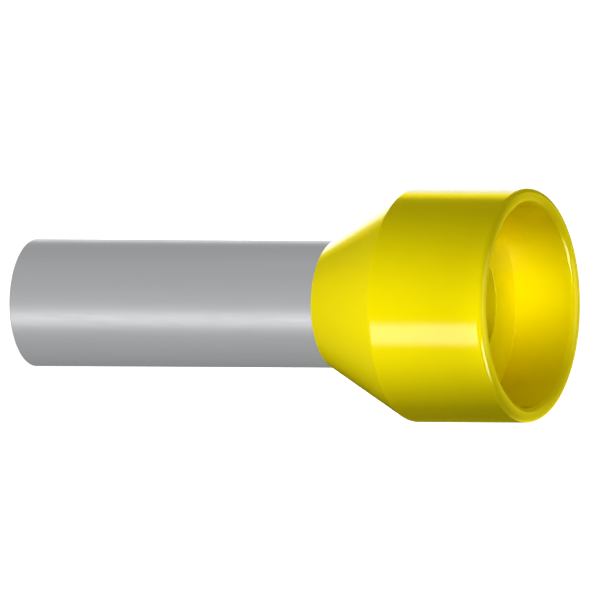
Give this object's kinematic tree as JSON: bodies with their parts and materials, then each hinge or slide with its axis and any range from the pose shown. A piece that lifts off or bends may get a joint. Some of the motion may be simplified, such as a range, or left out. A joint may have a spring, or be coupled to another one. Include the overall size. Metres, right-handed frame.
{
  "type": "insulated wire ferrule",
  "caption": "Cord end ferrule: a bare tinned copper tube with a funnel-shaped yellow insulating collar, crimped on stranded wire to make a firm end.",
  "frame": {"origin": "centre of the sleeve's cut end, on which the ferrule stands", "axes": "+Z along the axis, out of the collar's mouth. The form is round, so X and Y are free"},
  "size_m": [0.0072, 0.0072, 0.0168],
  "materials": {
    "tinned_copper": "satin tin plating on copper",
    "yellow_plastic": "smooth glossy moulding"
  },
  "bodies": {
    "root": {"sleeve": "tinned_copper", "collar": "yellow_plastic"}
  },
  "joints": []
}
